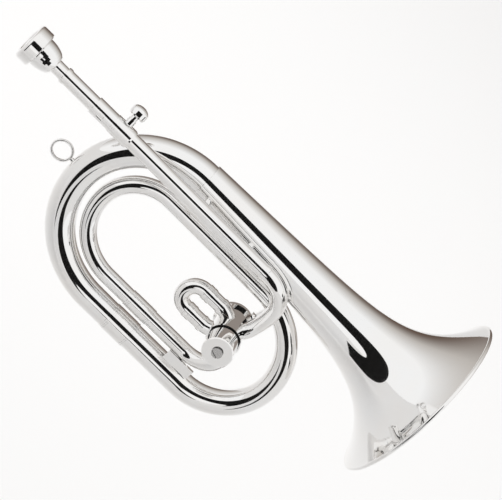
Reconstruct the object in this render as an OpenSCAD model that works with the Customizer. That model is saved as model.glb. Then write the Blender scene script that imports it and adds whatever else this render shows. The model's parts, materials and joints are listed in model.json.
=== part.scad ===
// Two-loop bugle with one rotary valve, in playing position, in millimetres.
// +X runs towards the bell, +Z is up and the front cap of the valve faces -Y.
// The origin is on the axis of the bell's stem, where the hand holds it.
// The air goes mouthpiece, mouthpipe, leadpipe, valve, inner loop, outer loop, bell.

/* [Bell] */
// Outer radius of the bell's rim
bell_rim_r = 73; // [68:0.5:80]
// Distance from the hand grip to the bell's rim
bell_len = 164.7; // [150:0.5:185]
// Distance from the hand grip back to the joint with the big bow
stem_len = 59.5; // [56:0.5:64]
// Outer radius of the stem at the hand grip
stem_r = 15.7; // [14.5:0.1:16.5]
// Growth of the stem's radius for each millimetre
stem_taper = 0.046; // [0.03:0.001:0.05]
// Length over which the flare grows e-fold
flare_len = 24.4; // [20:0.2:29]
// Downward tilt of the bell's axis, in degrees
bell_dip = 1.2; // [0:0.1:2]
// Wall of the bell
bell_wall = 0.9; // [0.6:0.1:1.4]
// Radius of the wire that is rolled into the rim
rim_wire_r = 1.5; // [1.2:0.1:2]

/* [Main tubing] */
// Wall of every tube
tube_wall = 0.9; // [0.7:0.05:1.1]
// Outer radius of the leadpipe
lead_r = 6.2; // [5.9:0.05:6.4]
// How far the leadpipe's axis is in front of the loops
lead_front = 24; // [23.5:0.25:27]
// How far the leadpipe's axis is below the bell's axis
lead_drop = 6.5; // [5:0.25:9]
// Where the leadpipe's straight stretch ends
lead_end = 17; // [12:0.5:18]
// How far the middle tube is below the bell's axis
middle_drop = 30; // [29:0.5:33]
// How far the inner lower tube is below the bell's axis
inner_drop = 111; // [107:0.5:114]
// How far the outer lower tube is below the bell's axis
outer_drop = 133.2; // [131:0.1:140]
// Outer radius where the inner loop starts
inner_r = 6.25; // [6:0.05:6.5]
// Outer radius where the middle tube starts
middle_r = 7.0; // [6.8:0.05:7.3]
// Outer radius where the front bow starts
front_bow_r = 7.4; // [7.2:0.05:7.7]
// Outer radius where the outer lower tube starts
outer_r = 10.5; // [10:0.1:10.9]
// Outer radius where the big rear bow starts
big_bow_r = 11; // [10.8:0.1:11.6]
// Distance from the hand grip back to where the inner rear bow's upper bend starts
inner_bow_start = 64.5; // [60:0.5:66]
// Radius of the upper bend of the inner rear bow
inner_bow_bend = 35.3; // [33:0.1:38]
// Radius of the upper bend of the big rear bow
big_bow_bend = 63; // [60:0.5:66]
// Where the upper bend of the front bow starts
front_bow_start = 30; // [28:0.5:32]
// Radius of the upper bend of the front bow
front_bow_bend = 57.4; // [54:0.2:59]

/* [Sleeves and braces] */
// Where the two joint sleeves of the lower tubes are centred
sleeve_x = -21; // [-35:0.5:-10]
// Length of the joint sleeves
sleeve_len = 22.4; // [16:0.2:28]
// How far a sleeve stands proud of its tube
sleeve_proud = 0.6; // [0.4:0.1:0.9]
// Length of the brace between the lower tubes
loop_brace_len = 24; // [16:1:30]
// How far the front of that brace is from the plane of the loops
loop_brace_front = 5.6; // [4:0.2:6]
// Thickness of the brace between the lower tubes
loop_brace_t = 2.4; // [1.6:0.2:3]
// Radius of the round braces
brace_r = 1.8; // [1.4:0.1:2.4]

/* [Mouthpiece and tuning] */
// Outer radius of the mouthpiece's rim
mouth_rim_r = 14.8; // [13.5:0.1:15.5]
// Radius of the cup at its mouth
cup_r = 8.5; // [8:0.1:9]
// Depth of the cup
cup_depth = 19; // [16:0.5:21]
// Radius of the throat
throat_r = 1.9; // [1.7:0.1:2.2]
// Face of the mouthpiece's rim, measured back from the hand grip
mouth_face = 220.5; // [214:0.5:228]
// Outer radius of the sliding mouthpipe
mouthpipe_r = 6.0; // [5.8:0.05:6.1]
// Running clearance between a slide and its tube, on the radius
slide_gap = 0.05; // [0.02:0.01:0.1]
// Pull of the mouthpipe
tuning_travel = 18; // [8:1:20]
// Rear end of the tuning receiver, measured back from the hand grip
receiver_start = 155.7; // [150:0.5:158]
// Front end of the tuning receiver, where the leadpipe starts
receiver_end = 121; // [118:0.5:124]
// Wall of the tuning receiver
receiver_wall = 0.95; // [0.7:0.05:1.3]
// Length of the clamp sleeve
clamp_len = 17.5; // [14:0.5:20]
// Wall of the clamp sleeve
clamp_wall = 0.5; // [0.4:0.1:1.2]
// Radius of the lock screw's round head
lock_head_r = 6.7; // [5.5:0.1:8]
// Radius of the lock screw's shank
lock_shank_r = 2; // [1.6:0.1:2.4]

/* [Rotary valve] */
// Distance from the hand grip forward to the valve's axis
valve_x = 33.4; // [32:0.2:36]
// How far the valve's axis is below the bell's axis
valve_drop = 68.2; // [66:0.2:71]
// How far the plane of the ports is in front of the loops
port_front = 10; // [8:0.5:12]
// Radius of the rotor
rotor_r = 10.55; // [10.4:0.05:11]
// Wall of the valve casing
casing_wall = 2; // [1.6:0.1:2.4]
// Radius of the rotor's air passages
passage_r = 4.8; // [4.2:0.05:4.85]
// Running clearance round the rotor and its spindle
rotor_gap = 0.05; // [0.02:0.01:0.1]
// Radius of the rotor's spindle
spindle_r = 3; // [2.5:0.1:3.5]
// How far the rear cover stands out past the casing
cover_proud = 2.1; // [1:0.1:3.4]
// Wall of the front cap
front_cap_wall = 0.8; // [0.6:0.1:1.2]
// Length of the front cap
front_cap_len = 18.8; // [14:0.2:21]
// Radius of the screw in the middle of the front cap
cap_screw_r = 4.3; // [3.4:0.1:5]

/* [Valve slide] */
// Outer radius of the valve slide's tubes
leg_r = 5.95; // [5.8:0.05:6.1]
// Distance between the axes of the two legs
leg_pitch = 21.1; // [19.5:0.1:22.5]
// Where the slide's bend starts
slide_bend_x = 0.2; // [-6:0.2:1]
// Pull of the valve slide
slide_travel = 10; // [5:0.5:10]

/* [Thumb lever] */
// Where the lever's pivot is, forward of the hand grip
pivot_x = 48.4; // [46:0.2:52]
// How far the lever's pivot is below the bell's axis
pivot_drop = 34; // [33:0.5:35]
// Radius at which the drive pin sits on the stop arm
crank_r = 9.5; // [9:0.1:10]
// Radius of the drive pin
drive_pin_r = 1.4; // [1:0.1:1.6]
// Side play of the drive pin in the lever's fork
fork_play = 0.75; // [0.7:0.05:1]
// Radius of the thumb pad
pad_r = 8; // [6:0.5:10]

/* [Strap ring] */
// Radius of the hole in the strap ring
ring_hole_r = 7.1; // [5:0.1:9]
// Thickness of the ring's wire
ring_wire = 2.1; // [1.6:0.1:3]

/* [Hidden] */
$fn = 48;

NICKEL = "#dfe3e6";
STEEL = "#a8adb2";
CORK = "#b98d5e";

X_AXIS = [0, 90, 0]; // turns +Z to +X
Y_AXIS = [-90, 0, 0]; // turns +Z to +Y
XZ_PLANE = [90, 0, 0]; // lays a flat shape in the XZ plane
sweep_sides = 20;
bend_steps = 10; // rings for each quarter bend
cut = 0.5; // how far a cutting body runs past a face

// Bell
rim_x = bell_len;
bell_join = -stem_len;
bell_join_z = stem_len * sin(bell_dip);
stem_end_r = stem_r - stem_taper * stem_len;
flare_r = bell_rim_r - rim_wire_r / 2 - stem_r - stem_taper * bell_len;
bell_points = 30;

// Mouthpiece and mouthpipe
mouth_x = -mouth_face;
rim_band = 11;
rim_round = 2.6;
cup_end = mouth_x + 26.5;
cup_out_r = 11.6;
shank_r = mouthpipe_r - 0.5;
shank_taper = 0.02;
shank_in = 20;
pipe_start = mouth_x + 34.5;
shank_end = pipe_start + shank_in;
taper_gap = 0.03;
mouthpipe_end = -receiver_end - 1;
receiver_r = mouthpipe_r + slide_gap + receiver_wall;
clamp_r = receiver_r + clamp_wall;
window_len = 5;
window_w = 5.6;
window_x = -receiver_start + 5.7;

// Clamp and lock screw
clamp_start = -receiver_end - clamp_len + 1;
clamp_lip = 1.5;
lock_x = clamp_start + clamp_len / 2;
lock_lean = 24; // the screw leans away from the front by this angle
boss_r = 3.5;
boss_top = 11.5;
lock_neck = 14.1;
lock_head_h = 9;
lock_tip = mouthpipe_r + 0.1;

// Valve: heights along Y, from the rear to the front
valve_z = -valve_drop;
port_y = -port_front;
bore_r = rotor_r + rotor_gap;
casing_r = bore_r + casing_wall;
rear_cover_r = casing_r + cover_proud;
rotor_half = 9;
end_play = 0.1;
bearing_t = 4.9;
rear_y = port_y + rotor_half + end_play + bearing_t + 1;
front_y = port_y - rotor_half - end_play - bearing_t - 3;
cover_t = 3;
neck_r = bore_r + 0.6;
neck_len = 4;
front_cap_r = neck_r + front_cap_wall;
ring_w = 2;
cap_back = front_y - 0.2;
cap_face = cap_back - front_cap_len;
cap_t = 2;
arm_t = 2;
arm_y = rear_y + cover_t + 0.6;
arm_half = 2.2;
arm_screw_h = 1.2;
spindle_front = cap_face + 6;
passage_centre = rotor_r + 9.45; // distance from the rotor's axis to the axis of a passage's bend
port_start = rotor_r - 2.05; // each port's bend starts this far from the rotor's axis
leg_half = leg_pitch / 2;
knuckle_bend = (leg_half - port_start * sin(45)) / (1 - cos(45));
crook_bend = (inner_drop - valve_drop - port_start * sin(45)) / (1 + cos(45));
port_bore = leg_r - tube_wall;
cork_r = 2.2;
cork_gap = 0.15;
cup_wall = 0.7;
cup_h = 0.4; // lower than the gap under the stop arm

// Valve slide
leg_join = valve_x - port_start * cos(45) - knuckle_bend * sin(45);
ferrule_proud = 0.6;
ferrule_w = 3.4;
slide_tube_r = port_bore - slide_gap;
slide_tube_wall = 0.6;
slide_tube_end = leg_join - 0.4;

// Thumb lever
pivot_z = -pivot_drop;
pivot_y = 12.2;
pivot_pin_r = 1.5;
lever_y = arm_y + arm_t + arm_screw_h + 0.6;
lever_t = 3;
link_len = norm([pivot_x - valve_x, pivot_z - valve_z]);
link_lean = atan2(pivot_x - valve_x, pivot_z - valve_z);
crank_rest = link_lean + 45; // from straight up towards +X
lever_swing = atan2(crank_r * sin(45), link_len - crank_r * cos(45));
fork_reach = norm([link_len - crank_r * cos(45), crank_r * sin(45)]);
fork_half = drive_pin_r + fork_play;
fork_tine = 1.7;
pad_y = 27;
pad_z = pivot_z + 27;

// Strap ring
ring_r = ring_hole_r + ring_wire * 0.42;
ring_z = -63.3;
big_bow_x = bell_join - big_bow_bend;
inner_bow_x = -inner_bow_start;

// Each bow is two quarter bends, and the lower one takes the height that the upper one leaves
inner_bow_low = inner_drop - middle_drop - inner_bow_bend;
big_bow_low = outer_drop + bell_join_z - big_bow_bend;
front_bow_low = outer_drop - middle_drop - front_bow_bend;
front_bow_low_x = front_bow_start + front_bow_bend - front_bow_low;
front_bow_turned = 2 + (front_bow_bend + front_bow_low) * PI / 2;
pivot_lean = asin((pivot_x - front_bow_start) / front_bow_bend); // slope of the front bow at the pivot
pivot_bow_r = front_bow_r + (outer_r - front_bow_r) * (2 + front_bow_bend * pivot_lean * PI / 180)
    / front_bow_turned;
ring_foot_len = 3.2;
ring_x = big_bow_x - big_bow_r - ring_foot_len - ring_r;

function unit(v) = v / norm(v);
function bell_r(x) = stem_r + stem_taper * x + flare_r * exp(-(bell_len - x) / flare_len);
function bell_slope(x) = stem_taper + flare_r / flare_len * exp(-(bell_len - x) / flare_len);
function bell_x(i) = bell_join + (rim_x - bell_join) * (1 - pow(1 - i / bell_points, 2));

// Points of an arc in the XZ plane, from angle a0 to a1, about (x, z)
function arc(x, z, r, a0, a1, steps, y = 0) =
    [for (i = [0:steps]) let (a = a0 + (a1 - a0) * i / steps) [x + r * cos(a), y, z + r * sin(a)]];
function rest(points) = [for (i = [1:len(points) - 1]) points[i]];
function bezier(p, steps) = [for (i = [0:steps]) let (t = i / steps, s = 1 - t)
    s * s * s * p[0] + 3 * s * s * t * p[1] + 3 * s * t * t * p[2] + t * t * t * p[3]];
// Distance along a path to each of its points
function distances(path) = [for (i = 0, s = 0; i < len(path);
    s = s + (i + 1 < len(path) ? norm(path[i + 1] - path[i]) : 0), i = i + 1) s];
function tangent(path, i) = unit(path[min(i + 1, len(path) - 1)] - path[max(i - 1, 0)]);
function ring_points(p, t, r) = let (side = unit(cross(t, [0, 1, 0])), up = cross(side, t))
    [for (k = [0:sweep_sides - 1]) let (a = 360 * k / sweep_sides) p + r * (cos(a) * up + sin(a) * side)];

// The end of a port's bend, and its centre, from its start angle and turn
function port_point(s) = [valve_x + port_start * cos(s), valve_z + port_start * sin(s)];
function knuckle_centre(s, turn, bend) = port_point(s) + bend * sign(turn) * [-sin(s), cos(s)];
function knuckle_end(s, turn, bend) =
    knuckle_centre(s, turn, bend) + bend * sign(turn) * [sin(s + turn), -cos(s + turn)];

lead_turn = 35;
lead_port_end = knuckle_end(45, lead_turn, knuckle_bend);
exit_end = knuckle_end(-45, -45, crook_bend);

lead_bend_path = let (
        start = [lead_end, -lead_front, -lead_drop],
        end = [lead_port_end.x, port_y, lead_port_end.y],
        heading = [cos(45 + lead_turn), 0, sin(45 + lead_turn)])
    bezier([start, start + [27, 0, 0], end + 22 * heading + [0, -1.5, 0], end], 18);

exit_path = let (
        quarter = arc(exit_end.x - crook_bend, exit_end.y, crook_bend, 0, -90, bend_steps),
        moved = [for (i = [0:bend_steps]) let (t = i / bend_steps)
            quarter[i] + [0, port_y * (1 - t * t * (3 - 2 * t)), 0]])
    concat(moved, [[sleeve_x, 0, -inner_drop]]);

inner_bow_path = concat(
    [[sleeve_x, 0, -inner_drop]],
    arc(inner_bow_x - inner_bow_bend + inner_bow_low, inner_bow_low - inner_drop, inner_bow_low,
        -90, -180, bend_steps),
    rest(arc(inner_bow_x, -middle_drop - inner_bow_bend, inner_bow_bend, 180, 90, bend_steps)),
    [[inner_bow_x + 2, 0, -middle_drop]]);

front_bow_path = concat(
    [[front_bow_start - 2, 0, -middle_drop]],
    arc(front_bow_start, -middle_drop - front_bow_bend, front_bow_bend, 90, 0, bend_steps),
    rest(arc(front_bow_low_x, front_bow_low - outer_drop, front_bow_low, 0, -90, bend_steps)),
    [[sleeve_x, 0, -outer_drop]]);

big_bow_path = concat(
    [[sleeve_x, 0, -outer_drop]],
    arc(big_bow_x + big_bow_low, big_bow_low - outer_drop, big_bow_low, -90, -180, bend_steps),
    rest(arc(bell_join, bell_join_z - big_bow_bend, big_bow_bend, 180, 90, bend_steps)));

// A tube swept along a path, with a radius that grows evenly from r0 to r1; the last tail keeps r1
module swept_tube(path, r0, r1, tail = 0) {
    n = len(path);
    s = distances(path);
    grow = [for (i = [0:n - 1]) r0 + (r1 - r0) * min(1, s[i] / (s[n - 1] - tail))];
    outer = [for (i = [0:n - 1]) each ring_points(path[i], tangent(path, i), grow[i])];
    inner = [for (i = [0:n - 1]) each ring_points(path[i], tangent(path, i), grow[i] - tube_wall)];
    m = sweep_sides;
    last = (n - 1) * m;
    skin = [for (i = [0:n - 2], k = [0:m - 1]) let (a = i * m + k, b = i * m + (k + 1) % m)
        each [[a, b, b + m], [a, b + m, a + m]]];
    ends = [for (k = [0:m - 1]) let (j = (k + 1) % m, in = n * m)
        each [[k, in + k, in + j], [k, in + j, j],
              [last + k, last + j, in + last + j], [last + k, in + last + j, in + last + k]]];
    bore = [for (f = skin) [f[0] + n * m, f[2] + n * m, f[1] + n * m]];
    polyhedron(concat(outer, inner), concat(skin, bore, ends), convexity = 6);
}

// A straight tube along X, from x0 to x1, that may be a cone
module x_tube(x0, x1, r0, r1, bore0, bore1, y = 0, z = 0) {
    translate([x0, y, z]) rotate(X_AXIS) difference() {
        cylinder(h = x1 - x0, r1 = r0, r2 = r1);
        translate([0, 0, -cut]) cylinder(h = x1 - x0 + 2 * cut, r1 = bore0, r2 = bore1);
    }
}

// A ring round the valve's axis, from y0 to y1
module y_ring(y0, y1, r, bore) {
    translate([valve_x, y0, valve_z]) rotate(Y_AXIS) difference() {
        cylinder(h = y1 - y0, r = r);
        translate([0, 0, -cut]) cylinder(h = y1 - y0 + 2 * cut, r = bore);
    }
}

// A solid rod round an axis parallel to Y
module y_rod(y0, y1, r, x = valve_x, z = valve_z) {
    translate([x, y0, z]) rotate(Y_AXIS) cylinder(h = y1 - y0, r = r);
}

// The solid bend of a port, from its start angle s through its turn
module port_bend(s, turn, bend, r) {
    centre = knuckle_centre(s, turn, bend);
    first = turn > 0 ? s - 90 : s + 90 + turn;
    translate([centre.x, port_y, centre.y]) rotate(XZ_PLANE) rotate(first)
        rotate_extrude(angle = abs(turn)) translate([bend, 0]) circle(r = r);
}

module knuckle(s, turn, bend, r) {
    difference() {
        port_bend(s, turn, bend, r);
        port_bend(s, turn, bend, r - tube_wall);
        y_rod(port_y - casing_r, port_y + casing_r, bore_r);
    }
}

// A collar round a tube: r is the tube's radius, and dir points along it in the XZ plane
module collar(x, z, y, dir, r, w = ferrule_w) {
    translate([x, y, z]) rotate([0, 90 - dir, 0]) translate([0, 0, -w / 2]) difference() {
        union() {
            cylinder(h = w, r = r + ferrule_proud * 0.6);
            translate([0, 0, w * 0.2]) cylinder(h = w * 0.6, r = r + ferrule_proud);
        }
        translate([0, 0, -cut]) cylinder(h = w + 2 * cut, r = r);
    }
}

// A joint sleeve with two engraved rings near each end
module joint_sleeve(r, z) {
    groove = 0.4;
    translate([sleeve_x - sleeve_len / 2, 0, z]) rotate(X_AXIS) difference() {
        cylinder(h = sleeve_len, r = r + sleeve_proud);
        translate([0, 0, -cut]) cylinder(h = sleeve_len + 2 * cut, r = r);
        for (at = [1, 2.4, sleeve_len - 3, sleeve_len - 1.6]) translate([0, 0, at]) difference() {
            cylinder(h = 0.6, r = r + sleeve_proud + cut);
            translate([0, 0, -cut]) cylinder(h = 0.6 + 2 * cut, r = r + sleeve_proud - groove);
        }
    }
}

// ---- Mouthpiece and tuning ----

module mouthpiece() {
    // The outline is drawn as [radius, distance from the rim's face]
    step = rim_band + 0.7;
    cup_len = cup_end - mouth_x;
    shank_out = shank_end - mouth_x;
    bowl = [for (i = [0:8]) let (a = 90 * i / 8)
        [shank_r + (cup_out_r - shank_r) * cos(a), step + (cup_len - step) * sin(a)]];
    rim_outside = [for (a = [90:-15:0])
        [mouth_rim_r - rim_round + rim_round * cos(a), rim_round - rim_round * sin(a)]];
    rim_inside = [for (a = [180:-20:100]) [cup_r + 2.2 + 2.2 * cos(a), 2.2 - 2.2 * sin(a)]];
    bowl_inside = [for (i = [1:7]) let (a = 90 * i / 8)
        [throat_r + (cup_r - throat_r) * cos(a), 2.2 + (cup_depth - 2.2) * pow(sin(a), 1.3)]];
    color(NICKEL) translate([mouth_x, -lead_front, -lead_drop]) rotate(X_AXIS) rotate_extrude()
        polygon(concat(rim_outside,
        [[mouth_rim_r, rim_band - 0.8], [mouth_rim_r - 0.8, rim_band]],
        bowl,
        [[shank_r - shank_taper * (shank_out - cup_len), shank_out],
         [shank_r - 1.9, shank_out], [throat_r, cup_depth + 4], [throat_r, cup_depth]],
        [for (i = [6:-1:0]) bowl_inside[i]],
        rim_inside));
}

module mouthpipe() {
    socket_r = shank_r - shank_taper * (pipe_start - cup_end) + taper_gap;
    seat_r = shank_r - shank_taper * (shank_end - cup_end) + taper_gap;
    color(NICKEL) translate([pipe_start, -lead_front, -lead_drop]) rotate(X_AXIS) difference() {
        cylinder(h = mouthpipe_end - pipe_start, r = mouthpipe_r);
        cylinder(h = shank_in + 0.3, r1 = socket_r, r2 = seat_r);
        cylinder(h = mouthpipe_end - pipe_start + cut, r = seat_r - 0.25);
    }
}

module mouthpipe_ring() {
    color(NICKEL) collar(pipe_start + 1.8, -lead_drop, -lead_front, 0, mouthpipe_r, 3.5);
}

module tuning_receiver() {
    color(NICKEL) difference() {
        x_tube(-receiver_start, -receiver_end, receiver_r, receiver_r, mouthpipe_r + slide_gap,
               mouthpipe_r + slide_gap, -lead_front, -lead_drop);
        translate([window_x, -lead_front - receiver_r - cut, -lead_drop - window_w / 2])
            cube([window_len, receiver_r, window_w]);
        lock_axis() cylinder(h = receiver_r + cut, r = lock_shank_r + slide_gap);
    }
}

// Moves to the lock screw's place, with +Z out along its axis
module lock_axis() {
    translate([lock_x, -lead_front, -lead_drop]) rotate([-lock_lean, 0, 0]) children();
}

module clamp_sleeve() {
    color(NICKEL) difference() {
        union() {
            x_tube(clamp_start, -receiver_end, clamp_r, clamp_r, receiver_r, receiver_r,
                   -lead_front, -lead_drop);
            x_tube(-receiver_end, -receiver_end + clamp_lip, clamp_r, clamp_r - 0.5, lead_r, lead_r,
                   -lead_front, -lead_drop);
        }
        lock_axis() cylinder(h = clamp_r + cut, r = lock_shank_r + slide_gap);
        for (at = [1.1, 2.6]) translate([clamp_start + at, -lead_front, -lead_drop]) rotate(X_AXIS)
            difference() {
                cylinder(h = 0.6, r = clamp_r + cut);
                translate([0, 0, -cut]) cylinder(h = 0.6 + 2 * cut, r = clamp_r - 0.2);
            }
    }
}

module clamp_boss() {
    color(NICKEL) difference() {
        lock_axis() difference() {
            cylinder(h = boss_top, r = boss_r);
            cylinder(h = boss_top + cut, r = lock_shank_r + slide_gap);
        }
        translate([clamp_start - cut, -lead_front, -lead_drop]) rotate(X_AXIS)
            cylinder(h = clamp_len + 4, r = clamp_r);
    }
}

module lock_screw() {
    dome = 4.2;
    color(NICKEL) lock_axis() {
        translate([0, 0, lock_tip]) cylinder(h = boss_top - lock_tip, r = lock_shank_r);
        translate([0, 0, boss_top + 0.1]) cylinder(h = lock_neck - boss_top, r = boss_r - 0.7);
        translate([0, 0, boss_top]) cylinder(h = 0.1, r = lock_shank_r);
        translate([0, 0, lock_neck]) rotate_extrude() polygon(concat(
            [[0, 0], [lock_head_r - 1, 0], [lock_head_r, 1.2], [lock_head_r, lock_head_h - dome]],
            [for (a = [15:15:90]) [lock_head_r * cos(a), lock_head_h - dome + dome * sin(a)]]));
    }
}

module leadpipe() {
    color(NICKEL) x_tube(-receiver_end, lead_end, lead_r, lead_r, lead_r - tube_wall,
                         lead_r - tube_wall, -lead_front, -lead_drop);
}

module leadpipe_ferrule() {
    color(NICKEL) collar(lead_end - 1.7, -lead_drop, -lead_front, 0, lead_r);
}

module leadpipe_bend() {
    color(NICKEL) swept_tube(lead_bend_path, lead_r, leg_r);
}

// ---- Rotary valve ----

module valve_casing() {
    color(NICKEL) difference() {
        union() {
            y_rod(front_y, rear_y, casing_r);
            y_rod(front_y - neck_len, front_y + cut, neck_r);
        }
        y_rod(front_y - neck_len - cut, rear_y + cut, bore_r);
        port_bend(45, lead_turn, knuckle_bend, leg_r);
        port_bend(-45, -45, crook_bend, inner_r);
        port_bend(135, 45, knuckle_bend, leg_r);
        port_bend(225, -45, knuckle_bend, leg_r);
    }
}

module front_ring() {
    color(NICKEL) y_ring(front_y, front_y + ring_w, casing_r + 0.5, casing_r);
}

module front_bearing() {
    color(NICKEL) y_ring(front_y + 3, front_y + 3 + bearing_t, bore_r, spindle_r + rotor_gap);
}

module rear_bearing() {
    color(NICKEL) y_ring(rear_y - 1 - bearing_t, rear_y - 1, bore_r, spindle_r + rotor_gap);
}

module rear_cover() {
    color(NICKEL) y_ring(rear_y, rear_y + cover_t, rear_cover_r, spindle_r + 0.3);
}

module rotor() {
    bend = norm([passage_centre - rotor_r * cos(45), rotor_r * sin(45)]);
    color(STEEL) difference() {
        union() {
            y_rod(port_y - rotor_half, port_y + rotor_half, rotor_r);
            y_rod(spindle_front, arm_y + arm_t, spindle_r);
        }
        for (side = [-1, 1]) translate([valve_x + side * passage_centre, port_y, valve_z])
            rotate(XZ_PLANE) rotate_extrude() translate([bend, 0]) circle(r = passage_r);
        y_rod(arm_y + arm_t - 6, arm_y + arm_t + cut, 1.5);
    }
}

// Moves to the stop arm's place at an angle from its rest, with +Z out along the arm
module crank_axis(turn = 0) {
    translate([valve_x, arm_y, valve_z]) rotate([0, crank_rest + turn, 0]) children();
}

module stop_arm() {
    color(STEEL) {
        difference() {
            union() {
                y_rod(arm_y, arm_y + arm_t, spindle_r + 2);
                crank_axis() translate([-arm_half, 0, 0]) cube([2 * arm_half, arm_t, crank_r]);
                crank_axis() translate([0, 0, crank_r]) rotate(Y_AXIS) cylinder(h = arm_t, r = arm_half);
            }
            y_rod(arm_y - cut, arm_y + arm_t + cut, spindle_r);
        }
        crank_axis() translate([0, arm_t, crank_r]) rotate(Y_AXIS)
            cylinder(h = lever_y + lever_t + 0.6 - arm_y - arm_t, r = drive_pin_r);
    }
}

module stop_arm_screw() {
    top = arm_y + arm_t;
    color(STEEL) difference() {
        union() {
            y_rod(top, top + arm_screw_h, spindle_r + 0.2);
            y_rod(top - 5, top + 0.1, 1.5);
        }
        translate([valve_x - 5, top + 0.6, valve_z - 0.4]) cube([10, 1, 0.8]);
    }
}

// The two places where the stop arm comes to rest, as turns from the rest position
cork_side = asin((arm_half + cork_r + cork_gap) / crank_r);

module at_corks() {
    for (turn = [cork_side, -90 - cork_side]) crank_axis(turn)
        translate([0, rear_y + cover_t - arm_y, crank_r]) rotate(Y_AXIS) children();
}

module bumper_cups() {
    color(NICKEL) at_corks() difference() {
        cylinder(h = cup_h, r = cork_r + cup_wall);
        translate([0, 0, -cut]) cylinder(h = cup_h + 2 * cut, r = cork_r);
    }
}

module bumper_corks() {
    color(CORK) at_corks() cylinder(h = 3.4, r = cork_r);
}

module front_cap() {
    color(NICKEL) difference() {
        union() {
            y_rod(cap_face + 0.8, cap_back, front_cap_r);
            translate([valve_x, cap_face, valve_z]) rotate(Y_AXIS)
                cylinder(h = 0.8, r1 = front_cap_r - 0.8, r2 = front_cap_r);
        }
        y_rod(cap_face + cap_t, cap_back + cut, neck_r);
        y_rod(cap_face - cut, cap_face + cap_t + cut, 2);
    }
}

module cap_screw() {
    head_h = 1.4;
    color(STEEL) difference() {
        union() {
            y_rod(cap_face - head_h, cap_face, cap_screw_r);
            y_rod(cap_face - 0.1, cap_face + 4, 2);
        }
        translate([valve_x - 6, cap_face - head_h - cut, valve_z - 0.5]) rotate([0, 20, 0])
            cube([12, cut + 0.7, 1]);
    }
}

module barrel_spring() {
    wire_r = 0.6;
    coils = 7;
    // close-wound coils round the spindle, inside the front cap
    color(STEEL) for (i = [0:coils - 1])
        translate([valve_x, spindle_front + 3 + i * 1.9 * wire_r, valve_z]) rotate(Y_AXIS)
            rotate_extrude() translate([spindle_r + 2.4, 0]) circle(r = wire_r, $fn = 24);
}

module lead_knuckle() {
    color(NICKEL) knuckle(45, lead_turn, knuckle_bend, leg_r);
}

module exit_knuckle() {
    color(NICKEL) knuckle(-45, -45, crook_bend, inner_r);
}

module upper_knuckle() {
    color(NICKEL) knuckle(135, 45, knuckle_bend, leg_r);
}

module lower_knuckle() {
    color(NICKEL) knuckle(225, -45, knuckle_bend, leg_r);
}

module port_ferrules() {
    color(NICKEL) difference() {
        union() {
            for (side = [-1, 1]) collar(leg_join + 0.2, valve_z + side * leg_half, port_y, 0, leg_r);
            collar(exit_end.x, exit_end.y, port_y, 90, inner_r);
        }
        y_rod(port_y - casing_r, port_y + casing_r, casing_r); // a wider casing trims them
    }
}

// ---- Valve slide ----

module slide_leg(side) {
    z = valve_z + side * leg_half;
    x_tube(slide_bend_x + ferrule_w, leg_join, leg_r, leg_r, port_bore, port_bore, port_y, z);
    collar(slide_bend_x + 1.5 * ferrule_w + 0.1, z, port_y, 0, leg_r);
}

module upper_slide_leg() {
    color(NICKEL) slide_leg(1);
}

module lower_slide_leg() {
    color(NICKEL) slide_leg(-1);
}

module slide_bow() {
    color(NICKEL) translate([slide_bend_x, port_y, valve_z]) rotate(XZ_PLANE) rotate(90) difference() {
        rotate_extrude(angle = 180) translate([leg_half, 0]) circle(r = leg_r);
        rotate_extrude(angle = 180) translate([leg_half, 0]) circle(r = port_bore);
    }
}

module slide_tubes() {
    color(NICKEL) for (side = [-1, 1])
        x_tube(slide_bend_x, slide_tube_end, slide_tube_r, slide_tube_r,
               slide_tube_r - slide_tube_wall, slide_tube_r - slide_tube_wall, port_y,
               valve_z + side * leg_half);
}

module slide_ferrules() {
    color(NICKEL) for (side = [-1, 1])
        x_tube(slide_bend_x, slide_bend_x + ferrule_w - 0.1, leg_r + ferrule_proud,
               leg_r + ferrule_proud, slide_tube_r, slide_tube_r, port_y,
               valve_z + side * leg_half);
}

// ---- Inner and outer loops ----

module exit_crook() {
    color(NICKEL) swept_tube(exit_path, inner_r, inner_r);
}

module inner_sleeve() {
    color(NICKEL) joint_sleeve(inner_r, -inner_drop);
}

module inner_rear_bow() {
    color(NICKEL) swept_tube(inner_bow_path, inner_r, middle_r);
}

module middle_tube() {
    color(NICKEL) x_tube(inner_bow_x + 2, front_bow_start - 2, middle_r, front_bow_r,
                         middle_r - tube_wall, front_bow_r - tube_wall, 0, -middle_drop);
}

module front_bow() {
    color(NICKEL) swept_tube(front_bow_path, front_bow_r, outer_r, front_bow_low_x - sleeve_x);
}

module outer_sleeve() {
    color(NICKEL) joint_sleeve(outer_r, -outer_drop);
}

module big_rear_bow() {
    color(NICKEL) swept_tube(big_bow_path, outer_r, stem_end_r);
}

// ---- Braces ----

module loop_brace() {
    // a strip set into the front valley between the two lower tubes
    back = loop_brace_front - loop_brace_t;
    low = -outer_drop + sqrt(pow(outer_r, 2) - pow(loop_brace_front, 2)) - 0.2;
    high = -inner_drop - sqrt(pow(inner_r, 2) - pow(back, 2)) + 0.2;
    color(NICKEL) translate([valve_x - 4 - loop_brace_len / 2, -loop_brace_front, low])
        cube([loop_brace_len, loop_brace_t, high - low]);
}

// The radius of the stem at x, and of the middle tube
function stem_at(x) = stem_r + stem_taper * x;
function middle_at(x) = middle_r
    + (front_bow_r - middle_r) * (x - inner_bow_x) / (front_bow_start - inner_bow_x);

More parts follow.
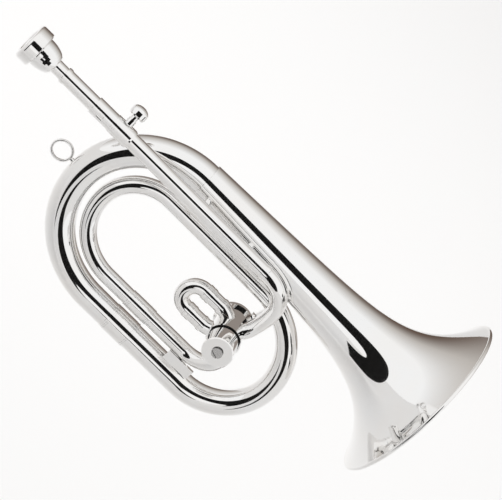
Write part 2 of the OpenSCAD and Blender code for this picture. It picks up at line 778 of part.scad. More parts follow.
module stem_braces() {
    color(NICKEL) for (x = [-44, 6]) {
        low = -middle_drop + middle_at(x) - 0.4;
        high = -x * sin(bell_dip) - stem_at(x) + 0.4;
        translate([x, 0, low]) cylinder(h = high - low, r = brace_r);
        translate([x, 0, low]) cylinder(h = 1.4, r1 = brace_r + 1.4, r2 = brace_r);
        translate([x, 0, high - 1.4]) cylinder(h = 1.4, r1 = brace_r, r2 = brace_r + 1.4);
    }
}

module lead_braces() {
    lean = atan2(lead_front, lead_drop);
    reach = norm([lead_front, lead_drop]);
    color(NICKEL) for (x = [-48, -4]) translate([x, 0, 0]) rotate([-lean, 0, 0]) mirror([0, 0, 1])
        translate([0, 0, stem_at(x) - 0.5])
            cylinder(h = reach - lead_r - stem_at(x) + 0.9, r = brace_r + 1);
}

// ---- Bell ----

module bell_axis() {
    rotate([0, 90 + bell_dip, 0]) children();
}

module bell() {
    // The wall is measured square to the outside, and the outline is [radius, x]
    function outside(x) = [bell_r(x), x];
    function inside(x) = let (m = bell_slope(x), q = bell_wall / sqrt(1 + m * m)) [bell_r(x) - q, x + m * q];
    color(NICKEL) bell_axis() rotate_extrude($fn = 96) difference() {
        polygon(concat(
            [for (i = [0:bell_points]) outside(bell_x(i))],
            [for (i = [bell_points:-1:1]) inside(bell_x(i))],
            [[bell_r(bell_join) - bell_wall, bell_join]]));
        translate([bell_rim_r - rim_wire_r, rim_x]) circle(r = rim_wire_r);
    }
}

module rim_wire() {
    color(NICKEL) bell_axis() translate([0, 0, rim_x]) rotate_extrude($fn = 96)
        translate([bell_rim_r - rim_wire_r, 0]) circle(r = rim_wire_r);
}

// ---- Strap ring ----

module strap_ring() {
    color(NICKEL) translate([ring_x, 0, ring_z]) rotate(XZ_PLANE) rotate_extrude() intersection() {
        translate([ring_r, 0]) circle(d = ring_wire);
        translate([ring_hole_r, -ring_wire]) square([2 * ring_wire, 2 * ring_wire]);
    }
}

module ring_foot() {
    start = ring_x + ring_r + ring_wire * 0.3;
    color(NICKEL) difference() {
        translate([start, 0, ring_z]) rotate(X_AXIS)
            cylinder(h = big_bow_x - big_bow_r + 1.2 - start, r1 = 1.3, r2 = 2.4);
        translate([ring_x, 0, ring_z]) rotate(XZ_PLANE) rotate_extrude()
            translate([ring_r, 0]) circle(d = ring_wire);
    }
}

// ---- Thumb lever ----

module lever_bracket() {
    bow_z = -middle_drop - front_bow_bend + sqrt(pow(front_bow_bend, 2) - pow(pivot_x - front_bow_start, 2));
    color(NICKEL) difference() {
        union() {
            y_rod(0, pivot_y, 3.6, pivot_x, pivot_z);
            y_rod(0, pivot_bow_r + 0.9, 5, pivot_x, pivot_z);
        }
        translate([pivot_x, 0, bow_z]) rotate([0, 90 + pivot_lean, 0])
            cylinder(h = 24, r = pivot_bow_r - 0.05, center = true);
        translate([pivot_x - 10, -10, bow_z - 20]) cube([20, 10 + 2, 40]);
        y_rod(0, pivot_y + cut, pivot_pin_r, pivot_x, pivot_z);
    }
}

module lever_pivot() {
    top = lever_y + lever_t + 0.1;
    color(STEEL) difference() {
        union() {
            y_rod(pivot_y - 4, top, pivot_pin_r, pivot_x, pivot_z);
            y_rod(top, top + 1.3, pivot_pin_r + 1.5, pivot_x, pivot_z);
        }
        translate([pivot_x - 4, top + 0.8, pivot_z - 0.4]) cube([8, 1, 0.8]);
    }
}

// Moves to the lever's pivot at rest, with -Z along its lower arm and y = 0 on its front face
module lever_axis() {
    translate([pivot_x, lever_y, pivot_z]) rotate([0, link_lean - lever_swing, 0]) children();
}

module thumb_lever() {
    hub_r = 4;
    tip = fork_reach + 1;
    slot_from = link_len - crank_r - drive_pin_r - 0.8;
    width = 2 * (fork_half + fork_tine);
    color(NICKEL) difference() {
        union() {
            y_rod(pivot_y + 0.1, lever_y + lever_t, hub_r, pivot_x, pivot_z);
            lever_axis() translate([-2.2, 0, -slot_from]) cube([4.4, lever_t, slot_from]);
            lever_axis() translate([-width / 2, 0, -tip]) cube([width, lever_t, tip - slot_from + 3]);
            hull() {
                y_rod(lever_y, lever_y + lever_t, 2.4, pivot_x, pivot_z + 2);
                y_rod(lever_y, lever_y + lever_t, 2.4, pivot_x, pivot_z + 9);
            }
            hull() {
                y_rod(lever_y, lever_y + lever_t, 2.4, pivot_x, pivot_z + 9);
                y_rod(pad_y, pad_y + lever_t, 2.4, pivot_x, pad_z);
            }
        }
        y_rod(0, lever_y + lever_t + cut, pivot_pin_r + 0.06, pivot_x, pivot_z);
        lever_axis() translate([-fork_half, -cut, -tip - cut])
            cube([2 * fork_half, lever_t + 2 * cut, tip - slot_from + cut]);
        lever_axis() translate([0, -cut, -slot_from]) rotate(Y_AXIS)
            cylinder(h = lever_t + 2 * cut, r = fork_half);
    }
}

module thumb_pad() {
    // a dished round plate whose face looks along -X, where the thumb presses
    thick = 2;
    color(NICKEL) translate([pivot_x + 2.4, pad_y + lever_t / 2, pad_z]) rotate(X_AXIS) difference() {
        cylinder(h = thick, r1 = pad_r, r2 = pad_r - 0.8);
        translate([0, 0, thick + 22 - 1]) sphere(r = 22, $fn = 64);
    }
}

mouthpiece();
mouthpipe();
mouthpipe_ring();
tuning_receiver();
clamp_sleeve();
clamp_boss();
lock_screw();
leadpipe();
leadpipe_ferrule();
leadpipe_bend();
valve_casing();
front_ring();
front_bearing();
rear_bearing();
rear_cover();
rotor();
stop_arm();
stop_arm_screw();
bumper_cups();
bumper_corks();
front_cap();
cap_screw();
barrel_spring();
lead_knuckle();
exit_knuckle();
upper_knuckle();
lower_knuckle();
port_ferrules();
upper_slide_leg();
lower_slide_leg();
slide_bow();
slide_tubes();
slide_ferrules();
exit_crook();
inner_sleeve();
inner_rear_bow();
middle_tube();
front_bow();
outer_sleeve();
big_rear_bow();
loop_brace();
stem_braces();
lead_braces();
bell();
rim_wire();
strap_ring();
ring_foot();
lever_bracket();
lever_pivot();
thumb_lever();
thumb_pad();
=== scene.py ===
# %% [markdown]
# # A two-loop bugle with one rotary valve
# The instrument is one long brass tube, silver-bright with nickel plate, folded into two flat loops.
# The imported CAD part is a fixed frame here: every piece keeps its place, and this lesson gives the bent
# and flared tubes a smoother skin, the metal its finish, and the studio the light that mirror metal needs.

# %% Load the frame
import json
import math

import bpy
from mathutils import Matrix, Vector

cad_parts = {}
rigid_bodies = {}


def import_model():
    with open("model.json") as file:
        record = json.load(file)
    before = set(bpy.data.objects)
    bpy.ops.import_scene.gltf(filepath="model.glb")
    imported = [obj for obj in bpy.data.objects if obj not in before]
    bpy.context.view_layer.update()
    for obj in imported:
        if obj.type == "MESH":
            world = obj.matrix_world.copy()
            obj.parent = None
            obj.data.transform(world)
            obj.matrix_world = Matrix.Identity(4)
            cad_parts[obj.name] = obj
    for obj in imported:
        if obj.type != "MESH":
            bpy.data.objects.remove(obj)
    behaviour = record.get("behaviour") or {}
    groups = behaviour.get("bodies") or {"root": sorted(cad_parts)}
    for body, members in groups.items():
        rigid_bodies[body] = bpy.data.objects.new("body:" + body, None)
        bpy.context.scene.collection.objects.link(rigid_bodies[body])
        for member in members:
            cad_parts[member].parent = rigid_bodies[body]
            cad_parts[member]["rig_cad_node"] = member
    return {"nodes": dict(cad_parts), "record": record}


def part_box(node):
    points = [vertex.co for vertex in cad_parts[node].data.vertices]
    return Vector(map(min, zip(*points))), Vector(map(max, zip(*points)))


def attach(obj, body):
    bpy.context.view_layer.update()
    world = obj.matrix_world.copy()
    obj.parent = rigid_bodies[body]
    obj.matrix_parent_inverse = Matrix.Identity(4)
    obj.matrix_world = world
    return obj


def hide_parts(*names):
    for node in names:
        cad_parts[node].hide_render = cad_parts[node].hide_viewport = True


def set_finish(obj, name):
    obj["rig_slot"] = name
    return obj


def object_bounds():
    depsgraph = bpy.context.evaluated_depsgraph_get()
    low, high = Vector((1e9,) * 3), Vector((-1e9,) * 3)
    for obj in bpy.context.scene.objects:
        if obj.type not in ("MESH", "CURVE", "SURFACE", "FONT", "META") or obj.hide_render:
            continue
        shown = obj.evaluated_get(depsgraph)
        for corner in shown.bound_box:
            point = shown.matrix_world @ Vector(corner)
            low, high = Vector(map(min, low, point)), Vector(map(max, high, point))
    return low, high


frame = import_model()
cad_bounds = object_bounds()
print("pieces in the frame:", len(frame["nodes"]))

# %% [markdown]
# ## Measures
# Everything is in metres, with +X towards the bell. The straight tubes come from the frame, and their
# boxes say where each bend starts and how thick it is, so the bends below meet them. The bend radii, the
# wall, the bell's flare and a few small fits are listed, because no box shows them.

# %% Places of the tubes
MM = 0.001
WALL = 0.9 * MM
SLEEVE_PROUD = 0.6 * MM
LEAD_IN = 2 * MM


def middle(node):
    low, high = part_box(node)
    return (low + high) / 2


def tube_radius(node):
    low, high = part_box(node)
    return (high.z - low.z) / 2


sleeve_x = middle("outer_sleeve").x
inner_z = middle("inner_sleeve").z
outer_z = middle("outer_sleeve").z
middle_z = middle("middle_tube").z
inner_r = tube_radius("inner_sleeve") - SLEEVE_PROUD
outer_r = tube_radius("outer_sleeve") - SLEEVE_PROUD
middle_r = 7.0 * MM
front_bow_r = tube_radius("middle_tube")
loop_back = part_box("middle_tube")[0].x - LEAD_IN
loop_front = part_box("middle_tube")[1].x + LEAD_IN
print("lower tubes at", round(inner_z, 4), round(outer_z, 4))

# %% [markdown]
# ## Paths of the bends
# A bend is drawn as a path of points: a straight lead-in, then arcs. The arcs are written as a formula,
# which keeps them round at any number of steps, and the fine steps give the mirror metal clean reflections.

# %% Arcs and curves as lists of points
STEPS = 40


def arc(x, z, r, start, end):
    turns = [math.radians(start + (end - start) * i / STEPS) for i in range(STEPS + 1)]
    return [Vector((x + r * math.cos(a), 0, z + r * math.sin(a))) for a in turns]


def bezier(p0, p1, p2, p3):
    points = []
    for i in range(STEPS + 1):
        t = i / STEPS
        u = 1 - t
        points.append(u ** 3 * p0 + 3 * u ** 2 * t * p1 + 3 * u * t * t * p2 + t ** 3 * p3)
    return points


# %% [markdown]
# ## Paths of the three bows
# A bow is two quarter bends, one above the other. They need not be equal: the upper one is given, and the
# lower one takes the height that is left. The bell and its stem dip a little towards the bell's mouth.

# %% Bow paths
INNER_BEND = 35.3 * MM
BIG_BEND = 63.0 * MM
FRONT_BEND = 57.4 * MM
BELL_JOIN = -59.5 * MM
BELL_DIP = math.radians(1.2)
REAR = -1
FRONT = 1
stem_z = -BELL_JOIN * math.sin(BELL_DIP)


def bow(upper_x, upper_z, upper_bend, lower_z, side):
    """Two quarter bends, from the upper tube to the lower one."""
    lower_bend = upper_z - lower_z - upper_bend
    lower_x = upper_x + side * (upper_bend - lower_bend)
    middle_turn = 90 - 90 * side
    upper_arc = arc(upper_x, upper_z - upper_bend, upper_bend, 90, middle_turn)
    lower_arc = arc(lower_x, lower_z + lower_bend, lower_bend, middle_turn, 90 - 180 * side)
    return upper_arc + lower_arc[1:]


inner_path = [Vector((sleeve_x, 0, inner_z))]
inner_path += bow(loop_back, middle_z, INNER_BEND, inner_z, REAR)[::-1]
inner_path.append(Vector((loop_back + LEAD_IN, 0, middle_z)))
front_path = [Vector((loop_front - LEAD_IN, 0, middle_z))]
front_path += bow(loop_front, middle_z, FRONT_BEND, outer_z, FRONT)
front_path.append(Vector((sleeve_x, 0, outer_z)))
big_path = [Vector((sleeve_x, 0, outer_z))]
big_path += bow(BELL_JOIN, stem_z, BIG_BEND, outer_z, REAR)[::-1]
# the last stretch slips into the bell, so that no gap shows at the joint
big_path.append(big_path[-1] + LEAD_IN * Vector((math.cos(BELL_DIP), 0, -math.sin(BELL_DIP))))
print("points on the bows:", len(inner_path), len(front_path), len(big_path))

# %% [markdown]
# ## A bent tube
# A real bend is drawn tube filled with pitch and pulled round a block. Here it is a curve with a round
# bevel: each point carries the tube's radius, so a conical bow needs no extra work. The curve becomes a
# mesh, and a Solidify modifier gives it the wall that shows at an open end.

# %% Steps along a path
LONGEST_STEP = 3 * MM


def travelled(path):
    lengths = [0.0]
    for a, b in zip(path, path[1:]):
        lengths.append(lengths[-1] + (b - a).length)
    return lengths


def split_long(path):
    points = [path[0]]
    for a, b in zip(path, path[1:]):
        parts = max(1, math.ceil((b - a).length / LONGEST_STEP))
        points += [a.lerp(b, i / parts) for i in range(1, parts + 1)]
    return points


# %% A wall for a skin
SMOOTH_BELOW = math.radians(40)


def select_only(piece):
    bpy.ops.object.select_all(action="DESELECT")
    piece.select_set(True)
    bpy.context.view_layer.objects.active = piece


def give_wall(piece):
    select_only(piece)
    bpy.ops.object.mode_set(mode="EDIT")
    bpy.ops.mesh.select_all(action="SELECT")
    bpy.ops.mesh.remove_doubles(threshold=1e-6)
    bpy.ops.mesh.normals_make_consistent(inside=False)
    bpy.ops.object.mode_set(mode="OBJECT")
    modifier = piece.modifiers.new("wall", "SOLIDIFY")
    modifier.thickness = WALL
    modifier.offset = -1
    modifier.use_even_offset = True
    bpy.ops.object.modifier_apply(modifier=modifier.name)
    bpy.ops.object.shade_smooth_by_angle(angle=SMOOTH_BELOW)


# %% Make a tube along a path
BEVEL_RESOLUTION = 12


def curve_piece(name, count):
    bpy.ops.curve.primitive_nurbs_path_add(location=(0, 0, 0))
    piece = bpy.context.active_object
    piece.name = name
    piece.data.splines.clear()
    spline = piece.data.splines.new("POLY")
    spline.points.add(count - 1)
    return piece, spline


def bent_tube(name, path, first_r, last_r, tail=0):
    path = split_long(path)
    piece, spline = curve_piece(name, len(path))
    lengths = travelled(path)
    for point, place, s in zip(spline.points, path, lengths):
        point.co = (*place, 1)
        point.radius = first_r + (last_r - first_r) * min(1, s / (lengths[-1] - tail))
    curve = piece.data
    curve.dimensions = "3D"
    curve.twist_mode = "MINIMUM"
    curve.bevel_depth = 1
    curve.bevel_resolution = BEVEL_RESOLUTION
    select_only(piece)
    bpy.ops.object.convert(target="MESH")
    give_wall(piece)
    return piece


def stands_for(piece, body, slot, *replaced):
    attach(piece, body)
    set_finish(piece, slot)
    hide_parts(*replaced)
    print(piece.name, "has", len(piece.data.polygons), "faces")


# %% [markdown]
# ## The three bows of the loops
# The inner bow hardly widens, the front bow widens from a finger's width, and the big rear bow ends as
# thick as the bell's stem. Each takes its first and last radius from the pieces it meets.

# %% Bows
STEM_R = 15.7 * MM
STEM_TAPER = 0.046
SLIP_FIT = 0.02 * MM
stem_end_r = STEM_R + STEM_TAPER * BELL_JOIN - SLIP_FIT
front_tail = (front_path[-1] - front_path[-2]).length
tube = bent_tube("inner_rear_bow_tube", inner_path, inner_r, middle_r)
stands_for(tube, "body", "nickel_plate", "inner_rear_bow")
tube = bent_tube("front_bow_tube", front_path, front_bow_r, outer_r, front_tail)
stands_for(tube, "body", "nickel_plate", "front_bow")
tube = bent_tube("big_rear_bow_tube", big_path, outer_r, stem_end_r)
stands_for(tube, "body", "nickel_plate", "big_rear_bow")

# %% [markdown]
# ## Bands in the grooves
# The two joint sleeves are ringed with a pair of grooves near each end. A thin band lies in each groove.
# It has the sleeves' own plate, so it shows only faintly, as one more edge for the mirror to break on.

# %% Bands in the grooves of the sleeves
SLEEVE_HALF = 11.2 * MM
BAND_PLACES = (1.3 * MM, 2.7 * MM, 19.7 * MM, 21.1 * MM)
BAND_PROUD = 0.35 * MM
BAND_WIDTH = 0.5 * MM
BAND_SIDES = 64
groove_bands = []
for z, tube_r in ((inner_z, inner_r), (outer_z, outer_r)):
    for along in BAND_PLACES:
        bpy.ops.mesh.primitive_cylinder_add(
            vertices=BAND_SIDES,
            radius=tube_r + BAND_PROUD,
            depth=BAND_WIDTH,
            end_fill_type="NOTHING",
            location=(sleeve_x - SLEEVE_HALF + along, 0, z),
            rotation=(0, math.pi / 2, 0),
        )
        groove_bands.append(bpy.context.active_object)
bpy.ops.object.select_all(action="DESELECT")
for band in groove_bands:
    band.select_set(True)
bpy.context.view_layer.objects.active = groove_bands[0]
bpy.ops.object.join()
groove_lines = bpy.context.active_object
groove_lines.name = "groove_lines"
bpy.ops.object.transform_apply(location=True, rotation=True, scale=True)
bpy.ops.object.shade_smooth_by_angle(angle=SMOOTH_BELOW)
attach(groove_lines, "body")
print("bands in the grooves:", len(groove_bands))

# %% [markdown]
# ## The leadpipe's bend and the exit crook
# The two thin bends leave the flat of the loops: one comes back from in front of them to the valve, and
# the other goes from the valve down into the inner loop. The first is an S drawn as one Bezier curve.

# %% Where the thin bends meet the valve
lead = middle("leadpipe")
lead_r = tube_radius("leadpipe")
LEG_HALF = 10.55 * MM
leg_r = tube_radius("slide_bow") - LEG_HALF
port_y = middle("slide_bow").y
valve = middle("front_cap")
PORT_START = 8.5 * MM
PORT_ANGLE = 45
KNUCKLE_TURN = 35
DIAGONAL = math.sqrt(0.5)
KNUCKLE_BEND = (LEG_HALF - PORT_START * DIAGONAL) / (1 - DIAGONAL)
CROOK_BEND = (valve.z - inner_z - PORT_START * DIAGONAL) / (1 + DIAGONAL)


def port_end(start, turn, bend):
    s = math.radians(start)
    e = math.radians(start + turn)
    way = math.copysign(1, turn)
    x = valve.x + PORT_START * math.cos(s) - bend * way * (math.sin(s) - math.sin(e))
    z = valve.z + PORT_START * math.sin(s) + bend * way * (math.cos(s) - math.cos(e))
    return Vector((x, port_y, z))


print("knuckle and crook bends:", round(KNUCKLE_BEND, 4), round(CROOK_BEND, 4))

# %% Thin bends
LEAD_PULL = 27 * MM
KNUCKLE_PULL = 22 * MM
KNUCKLE_LEAN = 1.5 * MM
heading = math.radians(PORT_ANGLE + KNUCKLE_TURN)
along_knuckle = Vector((math.cos(heading), 0, math.sin(heading)))
lead_from = Vector((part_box("leadpipe")[1].x, lead.y, lead.z))
lead_to = port_end(PORT_ANGLE, KNUCKLE_TURN, KNUCKLE_BEND)
lead_path = bezier(
    lead_from,
    lead_from + Vector((LEAD_PULL, 0, 0)),
    lead_to + KNUCKLE_PULL * along_knuckle + Vector((0, -KNUCKLE_LEAN, 0)),
    lead_to,
)
crook_from = port_end(-PORT_ANGLE, -PORT_ANGLE, CROOK_BEND)
crook_path = arc(crook_from.x - CROOK_BEND, crook_from.z, CROOK_BEND, 0, -90)
for i, point in enumerate(crook_path):
    t = i / STEPS
    # an ease in and out brings the crook from the ports' plane to the loops' plane
    point.y = port_y * (1 - t * t * (3 - 2 * t))
crook_path.append(Vector((sleeve_x, 0, inner_z)))
tube = bent_tube("leadpipe_bend_tube", lead_path, lead_r, leg_r)
stands_for(tube, "body", "nickel_plate", "leadpipe_bend")
tube = bent_tube("exit_crook_tube", crook_path, inner_r, inner_r)
stands_for(tube, "body", "nickel_plate", "exit_crook")

# %% [markdown]
# ## The bell
# A bell is spun: a flat disc is pressed over a turning mandrel. The same idea works here. One line, the
# bell's outline, is drawn by formula and spun about the bell's axis, which gives a skin without a seam.

# %% The bell's outline
RIM_X = 164.7 * MM
RIM_R = 73 * MM
RIM_WIRE_R = 1.5 * MM
FLARE_LEN = 24.4 * MM
FLARE_R = RIM_R - RIM_WIRE_R / 2 - STEM_R - STEM_TAPER * RIM_X
BELL_STEPS = 90
CROWDING = 1.6  # above 1, the steps grow shorter towards the rim, where the flare is steep
bell_outline = []
for i in range(BELL_STEPS + 1):
    x = BELL_JOIN + (RIM_X - BELL_JOIN) * (1 - (1 - i / BELL_STEPS) ** CROWDING)
    r = STEM_R + STEM_TAPER * x + FLARE_R * math.exp((x - RIM_X) / FLARE_LEN)
    bell_outline.append((x, r))
RIM_STEPS = 24
rim_outline = []
for i in range(RIM_STEPS + 1):
    a = math.tau * i / RIM_STEPS
    x = RIM_X + RIM_WIRE_R * math.cos(a)
    rim_outline.append((x, RIM_R - RIM_WIRE_R + RIM_WIRE_R * math.sin(a)))
print("points on the bell's outline:", len(bell_outline))

# %% Spin the bell and its rim
SPIN_STEPS = 128


def spun(name, outline):
    piece, spline = curve_piece(name, len(outline))
    for point, (x, r) in zip(spline.points, outline):
        point.co = (x, 0, r, 1)
    select_only(piece)
    bpy.ops.object.convert(target="MESH")
    bpy.ops.object.mode_set(mode="EDIT")
    bpy.ops.mesh.select_all(action="SELECT")
    bpy.ops.mesh.spin(steps=SPIN_STEPS, angle=math.tau, center=(0, 0, 0), axis=(1, 0, 0))
    bpy.ops.mesh.select_all(action="SELECT")
    bpy.ops.mesh.remove_doubles(threshold=2e-5)
    bpy.ops.mesh.normals_make_consistent(inside=False)
    bpy.ops.object.mode_set(mode="OBJECT")
    return piece


bell = spun("spun_bell", bell_outline)
give_wall(bell)
rim = spun("rolled_rim", rim_outline)
for piece in (bell, rim):
    piece.data.transform(Matrix.Rotation(BELL_DIP, 4, "Y"))
select_only(rim)
bpy.ops.object.shade_smooth()
stands_for(bell, "body", "nickel_plate", "bell")
stands_for(rim, "body", "nickel_plate", "rim_wire")

# %% [markdown]
# ## Sums between shader sockets
# A finish changes a little from place to place: a mirror is never quite even. Such changes are sums of
# patterns. One small class lets those sums be written like ordinary sums, and each operator adds a Math node.

# %% Sockets that can be added and multiplied
class Amount:
    def __init__(self, finish, socket):
        self.finish = finish
        self.socket = socket

    def sum(self, operation, first, second):
        return self.finish.node("ShaderNodeMath", {"operation": operation}, {0: first, 1: second})

    def __add__(self, other):
        return self.sum("ADD", self, other)

    __radd__ = __add__

    def __mul__(self, other):
        return self.sum("MULTIPLY", self, other)

    __rmul__ = __mul__

    def __pow__(self, other):
        return self.sum("POWER", self, other)


print("socket sums ready")

# %% [markdown]
# ## One finish
# A finish is a Principled shader with an even colour. Its methods add what changes over the surface:
# clouds of noise, a tint between two colours, and a shallow relief.

# %% A finish and its nodes
class Finish:
    def __init__(self, name, colour, metallic, roughness):
        self.material = bpy.data.materials.new(name)
        self.material.use_nodes = True
        self.tree = self.material.node_tree
        self.shader = self.tree.nodes["Principled BSDF"]
        self.shader.inputs["Base Color"].default_value = (*colour, 1)
        self.shader.inputs["Metallic"].default_value = metallic
        self.shader.inputs["Roughness"].default_value = roughness

    def node(self, kind, settings, values, output=0):
        made = self.tree.nodes.new(kind)
        for name, value in settings.items():
            setattr(made, name, value)
        for name, value in values.items():
            if isinstance(value, Amount):
                self.tree.links.new(value.socket, made.inputs[name])
            else:
                made.inputs[name].default_value = value
        return Amount(self, made.outputs[output])

    def clouds(self, size, detail=3, stretch=(1, 1, 1)):
        place = self.node("ShaderNodeTexCoord", {}, {}, "Object")
        where = self.node("ShaderNodeMapping", {}, {"Vector": place, "Scale": stretch})
        values = {"Vector": where, "Scale": 1 / size, "Detail": detail}
        return self.node("ShaderNodeTexNoise", {}, values, "Fac")

    def tint(self, share, first, second):
        values = {"Factor": share, "A": (*first, 1), "B": (*second, 1)}
        return self.node("ShaderNodeMix", {"data_type": "RGBA"}, values, "Result")

    def drive(self, name, amount):
        self.tree.links.new(amount.socket, self.shader.inputs[name])

    def relief(self, height, depth, strength):
        values = {"Height": height, "Distance": depth, "Strength": strength}
        self.drive("Normal", self.node("ShaderNodeBump", {}, values, "Normal"))


print("finish ready")

# %% [markdown]
# ## Mirror plate
# The whole instrument is mirror-bright plate. A mirror has almost no colour of its own, so its look comes
# from what stands round it. What gives it away as real metal is small: faint warm and cool tints in the
# plate, smudges where it has been handled, and the slight waviness of a tube that was drawn and buffed.

# %% Mirror plate
NICKEL = (0.93, 0.92, 0.90)
WARM_NICKEL = (0.93, 0.905, 0.875)
COOL_NICKEL = (0.925, 0.935, 0.945)
BUFFED = 0.035
HANDLED = 0.05


def mirror_plate():
    plate = Finish("mirror_nickel_plate", NICKEL, metallic=1, roughness=0.06)
    patches = plate.clouds(size=30 * MM, detail=2)
    smudge = plate.clouds(size=9 * MM, detail=4)
    plate.drive("Base Color", plate.tint(patches, WARM_NICKEL, COOL_NICKEL))
    plate.drive("Roughness", BUFFED + HANDLED * smudge ** 3)
    plate.relief(plate.clouds(size=16 * MM, detail=1), depth=0.1 * MM, strength=0.5)
    return plate.material


# %% [markdown]
# ## Steel and cork
# The rotor, the screws and the stop arm are turned steel: duller, with fine rings from the lathe. The
# bumpers are raw cork, with dark pores.

# %% Turned steel and cork
STEEL = (0.62, 0.61, 0.60)
DARK_STEEL = (0.55, 0.54, 0.53)
PALE_STEEL = (0.70, 0.69, 0.68)
TURNED = 0.16
LATHE_LINES = 0.2
CORK = (0.45, 0.29, 0.16)
PALE_CORK = (0.56, 0.38, 0.22)
CORK_PORE = (0.18, 0.10, 0.05)


def turned_steel():
    steel = Finish("turned_steel", STEEL, metallic=1, roughness=0.25)
    lines = steel.clouds(size=0.6 * MM, detail=2, stretch=(1, 6, 1))
    steel.drive("Roughness", TURNED + LATHE_LINES * lines)
    steel.drive("Base Color", steel.tint(steel.clouds(size=8 * MM), DARK_STEEL, PALE_STEEL))
    steel.relief(lines, depth=0.02 * MM, strength=0.4)
    return steel.material


def raw_cork():
    cork = Finish("raw_cork", CORK, metallic=0, roughness=0.85)
    pores = cork.clouds(size=0.7 * MM, detail=5)
    cork.drive("Base Color", cork.tint(pores ** 3, PALE_CORK, CORK_PORE))
    cork.relief(pores, depth=0.2 * MM, strength=0.7)
    return cork.material


# %% [markdown]
# ## Finishes on the pieces
# The frame says which finish each of its pieces has, and a new piece carries the name of its own. A new
# piece that names none gets the plate.

# %% Give every piece its finish
CAD_SMOOTH_BELOW = math.radians(35)
finishes = {"nickel_plate": mirror_plate(), "steel": turned_steel(), "cork": raw_cork()}
slot_of = {part["node"]: part["material_slot"] for part in frame["record"]["subparts"]}
for piece in [o for o in bpy.data.objects if o.type == "MESH"]:
    slot = slot_of.get(piece.get("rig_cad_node", ""), piece.get("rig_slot", "nickel_plate"))
    piece.data.materials.clear()
    piece.data.materials.append(finishes[slot])
    if "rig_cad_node" in piece:
        select_only(piece)
        bpy.ops.object.shade_smooth_by_angle(angle=CAD_SMOOTH_BELOW)
print("finishes:", list(finishes))

# %% [markdown]
# ## The studio
# Mirror metal is shown inside a white tent. The world is that tent: white from the camera's side to
# the middle, and darker behind, so that the tubes get brown edges. It is a ramp along Y.

# %% World
TENT_STRENGTH = 0.95
TENT_STOPS = [
    (0.0, (1.0, 1.0, 1.0)),
    (0.50, (1.0, 1.0, 1.0)),
    (0.66, (0.80, 0.79, 0.78)),
    (0.84, (0.56, 0.53, 0.50)),
    (1.0, (0.13, 0.09, 0.07)),
]
HALF = 0.5
world = bpy.data.worlds.new("white_tent")
bpy.context.scene.world = world
world.use_nodes = True
sky = world.node_tree
direction = sky.nodes.new("ShaderNodeTexCoord")
split = sky.nodes.new("ShaderNodeSeparateXYZ")
half_range = sky.nodes.new("ShaderNodeMath")
ramp = sky.nodes.new("ShaderNodeValToRGB")
half_range.operation = "MULTIPLY_ADD"
half_range.inputs[1].default_value = HALF
half_range.inputs[2].default_value = HALF
sky.links.new(direction.outputs["Generated"], split.inputs[0])
sky.links.new(split.outputs["Y"], half_range.inputs[0])
sky.links.new(half_range.outputs[0], ramp.inputs["Fac"])
sky.links.new(ramp.outputs["Color"], sky.nodes["Background"].inputs["Color"])
while len(ramp.color_ramp.elements) < len(TENT_STOPS):
    ramp.color_ramp.elements.new(HALF)
for stop, (at, colour) in zip(ramp.color_ramp.elements, TENT_STOPS):
    stop.position = at
    stop.color = (*colour, 1)
sky.nodes["Background"].inputs["Strength"].default_value = TENT_STRENGTH
print("tent stops:", len(ramp.color_ramp.elements))

# %% [markdown]
# ## The floor and the wall
# The floor lies far below the instrument, because a nearer one would cut off the lower part of the black
# card, which comes further down. A camera that stands low looks past the floor at the dark end of the tent,
# so a pale wall stands far behind. Only the camera sees the wall, and the metal doesn't.

# %% Floor
FLOOR_DROP = 2.2
FLOOR_SIZE = 60
PALE = (0.95, 0.95, 0.95)
floor_z = cad_bounds[0][2] - FLOOR_DROP
bpy.ops.mesh.primitive_plane_add(size=FLOOR_SIZE, location=(0, 0, floor_z))
floor = bpy.context.active_object
floor.name = "floor"
floor.data.materials.append(Finish("white_floor", PALE, metallic=0, roughness=1).material)
print("floor at", round(floor_z, 3))

# %% Wall
WALL_SIZE = 24
WALL_Y = 12
bpy.ops.mesh.primitive_plane_add(
    size=WALL_SIZE, location=(0, WALL_Y, 0), rotation=(math.pi / 2, 0, 0)
)
wall = bpy.context.active_object
wall.name = "pale_wall"
bpy.ops.object.transform_apply(location=True, rotation=True, scale=True)
wall.data.materials.append(floor.data.materials[0])
for ray in ("glossy", "diffuse", "shadow", "transmission"):
    setattr(wall, "visible_" + ray, False)
print("wall is", WALL_SIZE, "metres wide")

# %% [markdown]
# ## The softbox
# One large soft light hangs behind the instrument and faces down. It makes the floor there white. It is
# hidden from reflections, because the tent already gives the metal its white.

# %% Softbox over the floor
SOFTBOX_PLACE = (0, 4.6, 0.7)
SOFTBOX_SIZE = 6
SOFTBOX_ENERGY = 48
bpy.ops.object.light_add(type="AREA", location=SOFTBOX_PLACE)
softbox = bpy.context.active_object
softbox.data.shape = "DISK"
softbox.data.size = SOFTBOX_SIZE
softbox.data.energy = SOFTBOX_ENERGY
softbox.visible_glossy = False
print("softbox energy:", softbox.data.energy)

# %% [markdown]
# ## The camera
# A long lens stands a little over two metres off, above and to the left, and is rolled so that the bell
# points down to the right.

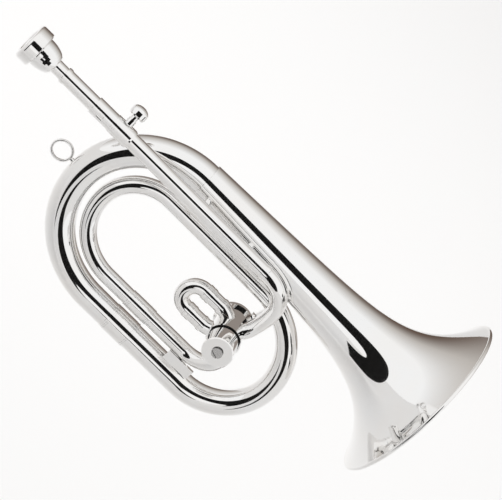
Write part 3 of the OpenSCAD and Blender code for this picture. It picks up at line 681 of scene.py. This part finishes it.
# %% Camera
TURN = math.radians(-10.3)
RISE = math.radians(26)
ROLL = math.radians(49.25)
DISTANCE = 2.2
AIM_RIGHT = 1.1 * MM
AIM_DOWN = 11.97 * MM
LENS = 219.1
SENSOR_WIDTH = 36
CLIP_END = 200
right = Vector((math.cos(TURN), math.sin(TURN), 0))
up = Vector((-math.sin(TURN) * math.sin(RISE), math.cos(TURN) * math.sin(RISE), math.cos(RISE)))
back = right.cross(up)
aim = right * AIM_RIGHT - up * AIM_DOWN
camera_x = right * math.cos(ROLL) + up * math.sin(ROLL)
camera_y = -right * math.sin(ROLL) + up * math.cos(ROLL)
bpy.ops.object.camera_add()
camera = bpy.context.active_object
place = aim + back * DISTANCE
camera.matrix_world = Matrix((
    (camera_x.x, camera_y.x, back.x, place.x),
    (camera_x.y, camera_y.y, back.y, place.y),
    (camera_x.z, camera_y.z, back.z, place.z),
    (0, 0, 0, 1),
))
camera.data.sensor_fit = "HORIZONTAL"
camera.data.sensor_width = SENSOR_WIDTH
camera.data.lens = LENS
camera.data.clip_end = CLIP_END
bpy.context.scene.camera = camera
print("camera stands at", [round(v, 2) for v in place])

# %% [markdown]
# ## The black card
# The tent has an opening for the camera, and past it is the dark room. A mirror tube shows it as one black
# line. Seen from the tubes the opening is a broad ring with a gap at the bottom, so the card is one edge
# that is spun part of the way round an axis square to the loops. Only its reflection is wanted, so the
# camera doesn't see the card itself.

# %% Spin the black card
CARD_Y = -2.4
CARD_IN = 0.58
CARD_OUT = 2.1
CARD_FROM = math.radians(-60)
CARD_TURN = math.radians(322)
CARD_STEPS = 60
CLOTH = (0.003, 0.003, 0.003)
bpy.ops.mesh.primitive_plane_add(size=1)
card = bpy.context.active_object
card.name = "black_card"
bpy.ops.object.mode_set(mode="EDIT")
bpy.ops.mesh.delete(type="ONLY_FACE")
bpy.ops.object.mode_set(mode="OBJECT")
for vertex in card.data.vertices:
    reach = CARD_OUT if vertex.co.x > 0 else CARD_IN
    vertex.co = (reach * math.cos(CARD_FROM), CARD_Y, reach * math.sin(CARD_FROM))
bpy.ops.object.mode_set(mode="EDIT")
bpy.ops.mesh.select_all(action="SELECT")
bpy.ops.mesh.remove_doubles(threshold=1e-4)
bpy.ops.mesh.select_all(action="SELECT")
bpy.ops.mesh.spin(steps=CARD_STEPS, angle=CARD_TURN, center=(0, CARD_Y, 0), axis=(0, 1, 0))
bpy.ops.object.mode_set(mode="OBJECT")
card.data.materials.append(Finish("black_cloth", CLOTH, metallic=0, roughness=1).material)
card.visible_camera = False
angles = [round(math.degrees(math.atan2(v.co.z, v.co.x))) for v in card.data.vertices]
print("card faces:", len(card.data.polygons), "from", angles[0], "by way of", angles[len(angles) // 2])

# %% [markdown]
# ## Exposure
# The plain Standard view keeps the white of the tent white, where a film-like view would turn it grey.

# %% Exposure
bpy.context.scene.view_settings.view_transform = "Standard"
